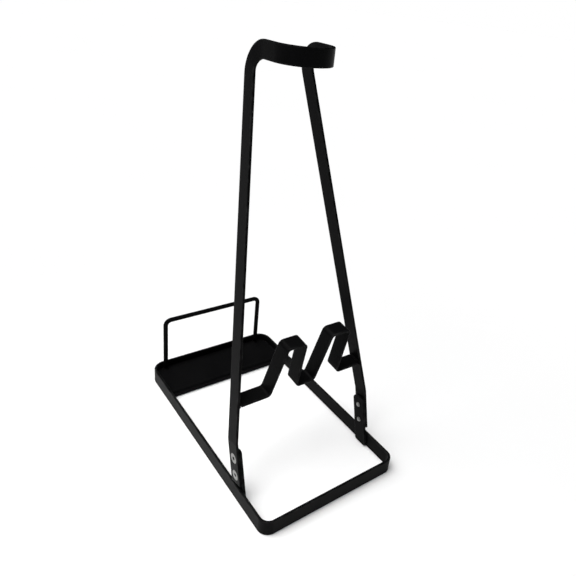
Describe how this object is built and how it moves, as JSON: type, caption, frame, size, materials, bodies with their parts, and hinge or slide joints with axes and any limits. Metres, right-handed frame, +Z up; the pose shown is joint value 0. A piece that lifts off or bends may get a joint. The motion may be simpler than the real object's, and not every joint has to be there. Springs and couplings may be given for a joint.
{
  "type": "headphone stand",
  "caption": "Headphone stand bent from flat steel strap: a leaning arch ends in a U hook, over a base loop with a cross strap, a rear tray and a wire rail.",
  "frame": {"origin": "on the ground under the middle of the base loop, which is the bottom centre of the bounding box", "axes": "+Z up along the stand's height, +Y to the back where the tray and rail are, -Y to the front where the hook points, +X to the right seen from the front"},
  "size_m": [0.1194, 0.2, 0.3072],
  "materials": {
    "black_coat": "satin black powder coat",
    "zinc_screws": "bright zinc"
  },
  "bodies": {
    "root": {"base_frame": "black_coat", "tray_plate": "black_coat", "rail_wire": "black_coat", "arch_strap": "black_coat", "cradle_strap": "black_coat", "tab_left": "black_coat", "tab_right": "black_coat", "screw_left_1": "zinc_screws", "screw_left_2": "zinc_screws", "screw_right_1": "zinc_screws", "screw_right_2": "zinc_screws"}
  },
  "joints": []
}
